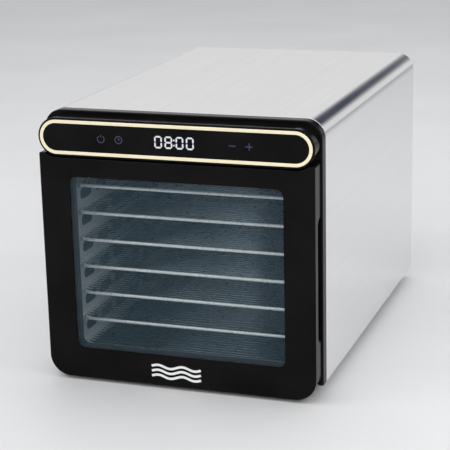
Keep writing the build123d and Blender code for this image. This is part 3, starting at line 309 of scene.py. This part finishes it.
def ring_at(mesh_data, centre, side, up, radius, count):
    """One ring of vertices round a centre, in the plane of side and up."""
    return [mesh_data.verts.new(centre + (side * cos(tau * k / count) + up * sin(tau * k / count)) * radius)
            for k in range(count)]


def bridge(mesh_data, first, second):
    """Four-sided faces between two rings of as many vertices."""
    count = len(first)
    for k in range(count):
        mesh_data.faces.new((first[k], first[(k + 1) % count], second[(k + 1) % count], second[k]))


def tube(mesh_data, points, radius, count=10, closed=False):
    """Round rod through the points."""
    rings = []
    total = len(points)
    for index, point in enumerate(points):
        ahead = points[(index + 1) % total] if closed or index < total - 1 else point
        behind = points[index - 1] if closed or index > 0 else point
        along = (ahead - behind).normalized()
        helper = UP if abs(along.z) < 0.9 else RIGHT
        side = along.cross(helper).normalized()
        rings.append(ring_at(mesh_data, point, side, side.cross(along), radius, count))
    for first, second in zip(rings, rings[1:]):
        bridge(mesh_data, first, second)
    if closed:
        bridge(mesh_data, rings[-1], rings[0])
    else:
        mesh_data.faces.new(rings[0])
        mesh_data.faces.new(rings[-1])


def rounded_loop(low, high, corner, height, steps=6):
    """Points round a level rounded rectangle."""
    centres = [(high.x - corner, high.y - corner), (low.x + corner, high.y - corner),
               (low.x + corner, low.y + corner), (high.x - corner, low.y + corner)]
    points = []
    for quarter, (x, y) in enumerate(centres):
        for step in range(steps + 1):
            angle = (quarter + step / steps) * pi / 2
            points.append(Vector((x + corner * cos(angle), y + corner * sin(angle), height)))
    return points


def thick_sheet(mesh_data, place, rows, columns, gauge):
    """Closed bent sheet: place(row share, column share) is a point of one face, gauge leads to the other."""
    grids = [[[mesh_data.verts.new(place(row / rows, column / columns) + offset)
               for column in range(columns + 1)]
              for row in range(rows + 1)]
             for offset in (Vector(), gauge)]
    rims = []
    for grid in grids:
        for lower, upper in zip(grid, grid[1:]):
            for k in range(columns):
                mesh_data.faces.new((lower[k], lower[k + 1], upper[k + 1], upper[k]))
        far_side = [row[-1] for row in grid[-2::-1]]
        rims.append([row[0] for row in grid] + grid[-1][1:] + far_side + grid[0][-2:0:-1])
    bridge(mesh_data, *rims)


def evenly(low, high, pitch):
    """Evenly spaced places between two ends, about a pitch apart, without the ends."""
    count = max(1, round((high - low) / pitch))
    return [low + (high - low) * k / count for k in range(1, count)]


# ---------------------------------------------------------------- wire racks
ROD = 2.0 * MM
WIRE = 0.8 * MM
SUPPORT = 1.3 * MM
RACK_CORNER = 12 * MM
FINE_PITCH = 8 * MM
LONG_PITCH = 20 * MM
LONG_DROP = 1.8 * WIRE
SUPPORT_BAYS = 4
RACKS = 7


def wire_rack(number):
    """Welded rack: an outer rod coloured brighter than the rest as a painted highlight, fine wires across,
    long wires under them, support rods below.
    """
    node = "tray_" + str(number)
    low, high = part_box(node)
    rod_low = low + Vector((ROD, ROD, 0))
    rod_high = high - Vector((ROD, ROD, 0))
    middle = low.z + ROD
    mesh_data = bmesh.new()
    tube(mesh_data, rounded_loop(rod_low, rod_high, RACK_CORNER, middle), ROD, count=14, closed=True)
    rim_faces = len(mesh_data.faces)
    top = middle + ROD - WIRE
    for y in evenly(rod_low.y, rod_high.y, FINE_PITCH):
        tube(mesh_data, [Vector((rod_low.x, y, top)), Vector((rod_high.x, y, top))], WIRE, count=8)
    for x in evenly(rod_low.x, rod_high.x, LONG_PITCH):
        level = top - LONG_DROP
        tube(mesh_data, [Vector((x, rod_low.y, level)), Vector((x, rod_high.y, level))], WIRE, count=8)
    for y in evenly(rod_low.y, rod_high.y, (rod_high.y - rod_low.y) / SUPPORT_BAYS):
        level = middle - ROD + SUPPORT
        tube(mesh_data, [Vector((rod_low.x, y, level)), Vector((rod_high.x, y, level))], SUPPORT)
    rack = piece("rack_" + str(number), mesh_data, MATERIALS["tray_wire"], node)
    # The outer rod's faces take the brighter colour, a painted highlight.
    rack.data.materials.append(RIM_WIRE_PAINTED_HIGHLIGHT)
    for polygon in rack.data.polygons[:rim_faces]:
        polygon.material_index = 1
    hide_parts(node)


for number in range(1, RACKS + 1):
    wire_rack(number)


# ---------------------------------------------------------------- fan
BLADES = 5
BLADE_ROOT, BLADE_TIP = 14 * MM, 67 * MM
BLADE_GAUGE = Vector((0, 1.1 * MM, 0))
BLADE_WIDTH, BLADE_BULGE = radians(12), radians(17)
BULGE_START, BULGE_SPAN = 0.15 * pi, 0.62 * pi
BLADE_PITCH, BLADE_TWIST, BLADE_CAMBER = 8.25 * MM, 2.6 * MM, 1.6 * MM
TIP_ROUNDING_START, TIP_ROUNDING = 0.86, 2.4
HUB_PROFILE = [(3, -4), (9, -4), (16, -3), (18, -1.5), (18, 2.5), (16, 4), (8, 4), (7, 8), (3, 8)]
HUB_SIDES = 40


def turned(mesh_data, centre, profile, count):
    """Closed turned solid about an axis along Y through the centre; profile holds (radius, depth) in mm."""
    rings = [ring_at(mesh_data, centre + Vector((0, depth * MM, 0)), RIGHT, UP, radius * MM, count)
             for radius, depth in profile]
    for first, second in zip(rings, rings[1:] + rings[:1]):
        bridge(mesh_data, first, second)


def impeller():
    """Hub and cambered, twisted sheet blades, broadest part-way out, with rounded tips."""
    low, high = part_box("fan_blades")
    shaft_low, shaft_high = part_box("fan_shaft")
    centre = Vector((0, (low.y + high.y) / 2, (shaft_low.z + shaft_high.z) / 2))
    mesh_data = bmesh.new()
    for blade in range(BLADES):
        start = radians(90 + 360 / BLADES * blade)

        def surface(along, chord):
            """Point of a blade's face, by its shares of the length and of the width."""
            across = 2 * chord - 1
            radius = BLADE_ROOT + (BLADE_TIP - BLADE_ROOT) * along
            narrowing = min(1, 1 - (along - TIP_ROUNDING_START) * TIP_ROUNDING)
            half = (BLADE_WIDTH + BLADE_BULGE * sin(BULGE_START + BULGE_SPAN * along)) * narrowing
            depth = (BLADE_PITCH - BLADE_TWIST * along) * across + BLADE_CAMBER * (1 - across * across)
            angle = start + half * across
            return centre + Vector((radius * cos(angle), depth, radius * sin(angle)))

        thick_sheet(mesh_data, surface, rows=12, columns=8, gauge=BLADE_GAUGE)
    turned(mesh_data, centre, HUB_PROFILE, HUB_SIDES)
    made = piece("impeller", mesh_data, MATERIALS["fan_aluminium"], "fan")
    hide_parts("fan_blades")


impeller()


# ---------------------------------------------------------------- pressed hoods over the rear air slots
HOOD_WIDTH, HOOD_HEIGHT, HOOD_DEPTH = 41 * MM, 6 * MM, 3 * MM
HOOD_RISE = 4.5 * MM
HOOD_SQUARENESS = 6
HOOD_GAUGE = Vector((0, -0.5 * MM, 0))
COLUMN_PITCH, ROW_PITCH = 46 * MM, 9 * MM
MAIN_SLOTS_Z, UPPER_SLOTS_Z = 150 * MM, 286 * MM
SLOT_COLUMNS = [-COLUMN_PITCH, 0, COLUMN_PITCH]
SLOT_ROWS = ([MAIN_SLOTS_Z + ROW_PITCH * step for step in range(-6, 7)]
             + [UPPER_SLOTS_Z + ROW_PITCH * step for step in range(-1, 2)])
PANEL_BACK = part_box("rear_panel")[1].y


def louvre_hoods():
    """One hood over each slot: closed at its top and ends, open at its lower edge."""
    mesh_data = bmesh.new()
    for x in SLOT_COLUMNS:
        for z in SLOT_ROWS:
            def hood(down, share):
                """Point of a hood, by its shares of the height and of the width."""
                end_curve = (1 - abs(2 * share - 1) ** HOOD_SQUARENESS) ** 0.5
                lift = HOOD_DEPTH * sin(down * pi / 2) * end_curve
                level = z + HOOD_RISE - down * HOOD_HEIGHT
                return Vector((x + (share - 0.5) * HOOD_WIDTH, PANEL_BACK + lift, level))

            thick_sheet(mesh_data, hood, rows=5, columns=20, gauge=HOOD_GAUGE)
    hoods = piece("louvre_hoods", mesh_data, MATERIALS["rear_coated"], "cabinet")


louvre_hoods()


# ---------------------------------------------------------------- control strip graphics
PRINT = 0.05 * MM


def plate(mesh_data, outline, face_y, thickness=PRINT):
    """Thin upright plate standing off a face that looks towards -Y; the outline is (x, z) in metres."""
    front = [mesh_data.verts.new((x, face_y - thickness, z)) for x, z in outline]
    back = [mesh_data.verts.new((x, face_y, z)) for x, z in outline]
    mesh_data.faces.new(front)
    mesh_data.faces.new(back)
    bridge(mesh_data, front, back)


def stroke(mesh_data, points, width, face_y):
    """Flat line of even width through (x, z) points, with square ends."""
    left, right = [], []
    for index, point in enumerate(points):
        ahead = Vector(points[min(index + 1, len(points) - 1)])
        behind = Vector(points[max(index - 1, 0)])
        along = (ahead - behind).normalized()
        across = Vector((-along.y, along.x)) * width / 2
        left.append(tuple(Vector(point) + across))
        right.append(tuple(Vector(point) - across))
    plate(mesh_data, left + right[::-1], face_y)


def arc(centre, radius, start, end, steps=24):
    """Points along an arc, whose ends are in degrees."""
    turns = [radians(start + (end - start) * k / steps) for k in range(steps + 1)]
    return [(centre[0] + radius * cos(turn), centre[1] + radius * sin(turn)) for turn in turns]


SEGMENTS = {"0": "abcdef", "8": "abcdefg"}
SEGMENT_ENDS = {"a": ((-1, 1), (1, 1)), "b": ((1, 1), (1, 0)), "c": ((1, 0), (1, -1)),
                "d": ((-1, -1), (1, -1)), "e": ((-1, 0), (-1, -1)), "f": ((-1, 1), (-1, 0)),
                "g": ((-1, 0), (1, 0))}
SEGMENT_BAR = 1.9 * MM
SEGMENT_GAP = 0.3 * MM
FIGURE_HALF_WIDTH, FIGURE_HALF_HEIGHT = 3.8 * MM, 6.3 * MM


def digit(mesh_data, centre, shown, face_y):
    """Seven-segment figure."""
    for name in SEGMENTS[shown]:
        start, end = [Vector((centre[0] + x * FIGURE_HALF_WIDTH, centre[1] + z * FIGURE_HALF_HEIGHT))
                      for x, z in SEGMENT_ENDS[name]]
        along = (end - start).normalized()
        across = Vector((-along.y, along.x)) * SEGMENT_BAR / 2
        start += along * SEGMENT_GAP
        end -= along * SEGMENT_GAP
        tip = along * SEGMENT_BAR / 2
        plate(mesh_data, [tuple(p) for p in (start, start + tip + across, end - tip + across, end,
                                             end - tip - across, start + tip - across)], face_y)


PANEL_LOW, PANEL_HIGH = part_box("touch_panel")
PANEL_FACE = PANEL_LOW.y
PANEL_Z = (PANEL_LOW.z + PANEL_HIGH.z) / 2
DISPLAY_LOW, DISPLAY_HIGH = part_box("display_module")
DISPLAY_X = (DISPLAY_LOW.x + DISPLAY_HIGH.x) / 2

FIGURES = [(-20.5 * MM, "0"), (-8 * MM, "8"), (5.5 * MM, "0"), (18 * MM, "0")]
COLON_X, COLON_RISE, COLON_DOT = -1.2 * MM, 3 * MM, 1.0 * MM


def display_figures():
    """Four lit figures and the colon between the pairs."""
    lit = Look("display_lit", (0.25, 0.26, 0.28), roughness=0.4)
    lit.tint(lit.noise(900), [(0.2, (0.23, 0.24, 0.26)), (0.8, (0.27, 0.285, 0.3))])
    lit.glow((0.9, 0.95, 1.0), 0.5)
    mesh_data = bmesh.new()
    for place, shown in FIGURES:
        digit(mesh_data, (DISPLAY_X + place, PANEL_Z), shown, PANEL_FACE)
    for side in (-1, 1):
        dot = (DISPLAY_X + COLON_X, PANEL_Z + side * COLON_RISE)
        plate(mesh_data, arc(dot, COLON_DOT, 0, 345, steps=12), PANEL_FACE)
    figures = piece("display_figures", mesh_data, lit.material, "cabinet", smooth=False)


ICON = 4.2 * MM
ICON_LINE = 1.0 * MM
POWER_X, CLOCK_X, MINUS_X, PLUS_X = -88 * MM, -66 * MM, 72 * MM, 92 * MM


def touch_icons():
    """Power, clock, minus and plus signs, dimly lit."""
    faint = Look("icon_lit", (0.03, 0.032, 0.075), roughness=0.5)
    faint.tint(faint.noise(700), [(0.2, (0.022, 0.024, 0.06)), (0.8, (0.036, 0.038, 0.085))])
    faint.glow((0.3, 0.32, 0.72), 0.02)
    mesh_data = bmesh.new()

    def line(points):
        stroke(mesh_data, points, ICON_LINE, PANEL_FACE)

    line(arc((POWER_X, PANEL_Z), ICON, 125, 415))
    line([(POWER_X, PANEL_Z + 0.5 * ICON), (POWER_X, PANEL_Z + 1.25 * ICON)])
    line(arc((CLOCK_X, PANEL_Z), ICON, 0, 358, steps=36))
    line([(CLOCK_X, PANEL_Z + 0.65 * ICON), (CLOCK_X, PANEL_Z), (CLOCK_X + 0.5 * ICON, PANEL_Z)])
    for x in (MINUS_X, PLUS_X):
        line([(x - ICON, PANEL_Z), (x + ICON, PANEL_Z)])
    for side in (-1, 1):
        line([(PLUS_X, PANEL_Z + side * 0.6 * ICON_LINE), (PLUS_X, PANEL_Z + side * ICON)])
    icons = piece("touch_icons", mesh_data, faint.material, "cabinet", smooth=False)


display_figures()
touch_icons()


# ---------------------------------------------------------------- printed mark on the door
DOOR_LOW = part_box("door_frame")[0]
MARK_X, MARK_Z, MARK_WIDTH = -4 * MM, DOOR_LOW.z + 18 * MM, 62 * MM
WAVE_PITCH, WAVE_HEIGHT, WAVE_LINE = 6.2 * MM, 1.9 * MM, 3 * MM
WAVE_STEPS = 40


def air_mark():
    """Three waves of air, one above the other, two crests each."""
    ink = mottled("white_ink", (0.72, 0.72, 0.72), (0.86, 0.86, 0.86), (0.35, 0.5), scale=600, bump=0.05)
    shares = [step / WAVE_STEPS for step in range(WAVE_STEPS + 1)]
    mesh_data = bmesh.new()
    for row in (-1, 0, 1):
        wave = [(MARK_X + MARK_WIDTH * (share - 0.5),
                 MARK_Z + row * WAVE_PITCH + WAVE_HEIGHT * sin(tau * 2 * share)) for share in shares]
        stroke(mesh_data, wave, WAVE_LINE, DOOR_LOW.y)
    mark = piece("air_mark", mesh_data, ink, "door", smooth=False)


air_mark()


# ---------------------------------------------------------------- studio
CAMERA_AT = Vector((0.592, -1.7716, 0.657))
CAMERA_AIM = Vector((-0.0297, 0.0, 0.132))
CAMERA_ROLL = radians(-1.33)
CAMERA_LENS, CAMERA_SENSOR = 117, 36
FLOOR_HALF = 60


def aimed_camera():
    """The camera, a little to the right of the front and above the object."""
    camera = bpy.data.objects.new("camera", bpy.data.cameras.new("camera"))
    camera.data.lens = CAMERA_LENS
    camera.data.sensor_width = CAMERA_SENSOR
    aim = (CAMERA_AIM - CAMERA_AT).to_track_quat("-Z", "Y").to_matrix().to_4x4()
    camera.matrix_world = Matrix.Translation(CAMERA_AT) @ aim @ Matrix.Rotation(CAMERA_ROLL, 4, "Z")
    bpy.context.scene.collection.objects.link(camera)
    bpy.context.scene.camera = camera


def pale_floor():
    """A wide matt floor, faintly clouded."""
    look = Look("floor", (0.7, 0.7, 0.7), roughness=0.55)
    look.tint(look.noise(3), [(0.3, (0.67, 0.67, 0.675)), (0.7, (0.71, 0.71, 0.71))])
    mesh_data = bmesh.new()
    bmesh.ops.create_grid(mesh_data, x_segments=2, y_segments=2, size=FLOOR_HALF)
    piece("floor", mesh_data, look.material, None, smooth=False)


# Pale studio walls with a dimmer belt overhead, and one dark curtain behind the object.
CURTAIN = Vector((0.14, 0.91, 0.4)).normalized()
CURTAIN_EDGE = (cos(radians(17)), cos(radians(8.5)))
CURTAIN_COLOUR = (0.05, 0.06, 0.09, 1)
WALLS = [(0.0, (0.93, 0.93, 0.93)), (0.14, (0.86, 0.86, 0.87)), (0.2, (0.98, 0.98, 0.985)),
         (0.3, (0.96, 0.96, 0.97)), (0.42, (0.5, 0.51, 0.53)), (0.6, (0.5, 0.51, 0.53)),
         (0.85, (0.92, 0.93, 0.94))]
WALL_BRIGHTNESS = 0.83


def studio_walls():
    """World light: the walls' colour by height, mixed with the curtain's colour near its direction."""
    world = bpy.data.worlds.new("studio")
    world.use_nodes = True
    nodes, links = world.node_tree.nodes, world.node_tree.links
    direction = nodes.new("ShaderNodeTexCoord").outputs["Generated"]
    height = nodes.new("ShaderNodeSeparateXYZ")
    links.new(direction, height.inputs["Vector"])
    walls = nodes.new("ShaderNodeValToRGB")
    while len(walls.color_ramp.elements) < len(WALLS):
        walls.color_ramp.elements.new(0.5)
    for element, (position, colour) in zip(walls.color_ramp.elements, WALLS):
        element.position = position
        element.color = (*colour, 1)
    links.new(height.outputs["Z"], walls.inputs["Fac"])
    nearness = nodes.new("ShaderNodeVectorMath")
    nearness.operation = "DOT_PRODUCT"
    nearness.inputs[1].default_value = CURTAIN
    links.new(direction, nearness.inputs[0])
    veil = nodes.new("ShaderNodeMapRange")
    veil.inputs["From Min"].default_value, veil.inputs["From Max"].default_value = CURTAIN_EDGE
    links.new(nearness.outputs["Value"], veil.inputs["Value"])
    hung = nodes.new("ShaderNodeMix")
    hung.data_type = "RGBA"
    hung.inputs["B"].default_value = CURTAIN_COLOUR
    links.new(veil.outputs["Result"], hung.inputs["Factor"])
    links.new(walls.outputs["Color"], hung.inputs["A"])
    links.new(hung.outputs["Result"], nodes["Background"].inputs["Color"])
    nodes["Background"].inputs["Strength"].default_value = WALL_BRIGHTNESS
    bpy.context.scene.world = world


def soft_light(name, at, towards, size, power):
    """A large lamp at a place in metres, turned towards a point, its power in watts."""
    data = bpy.data.lights.new(name, "AREA")
    data.shape = "RECTANGLE"
    data.size, data.size_y = size
    data.energy = power
    lamp = bpy.data.objects.new(name, data)
    lamp.location = at
    lamp.rotation_euler = (Vector(towards) - Vector(at)).to_track_quat("-Z", "Y").to_euler()
    bpy.context.scene.collection.objects.link(lamp)


aimed_camera()
pale_floor()
studio_walls()
soft_light("key", (-1.4, -1.8, 2.9), (0, 0, 0.15), (2.8, 2.2), 40)
soft_light("fill", (1.1, -2.6, 1.35), (-0.1, 0, 0.15), (2.2, 1.4), 26)
soft_light("side", (2.3, -0.2, 2.3), (0.4, 0, 0.15), (2.4, 1.6), 24)
soft_light("top", (0.0, 1.1, 2.8), (0, 0, 0.2), (3.0, 2.2), 20)
bpy.context.scene.view_settings.view_transform = "Standard"
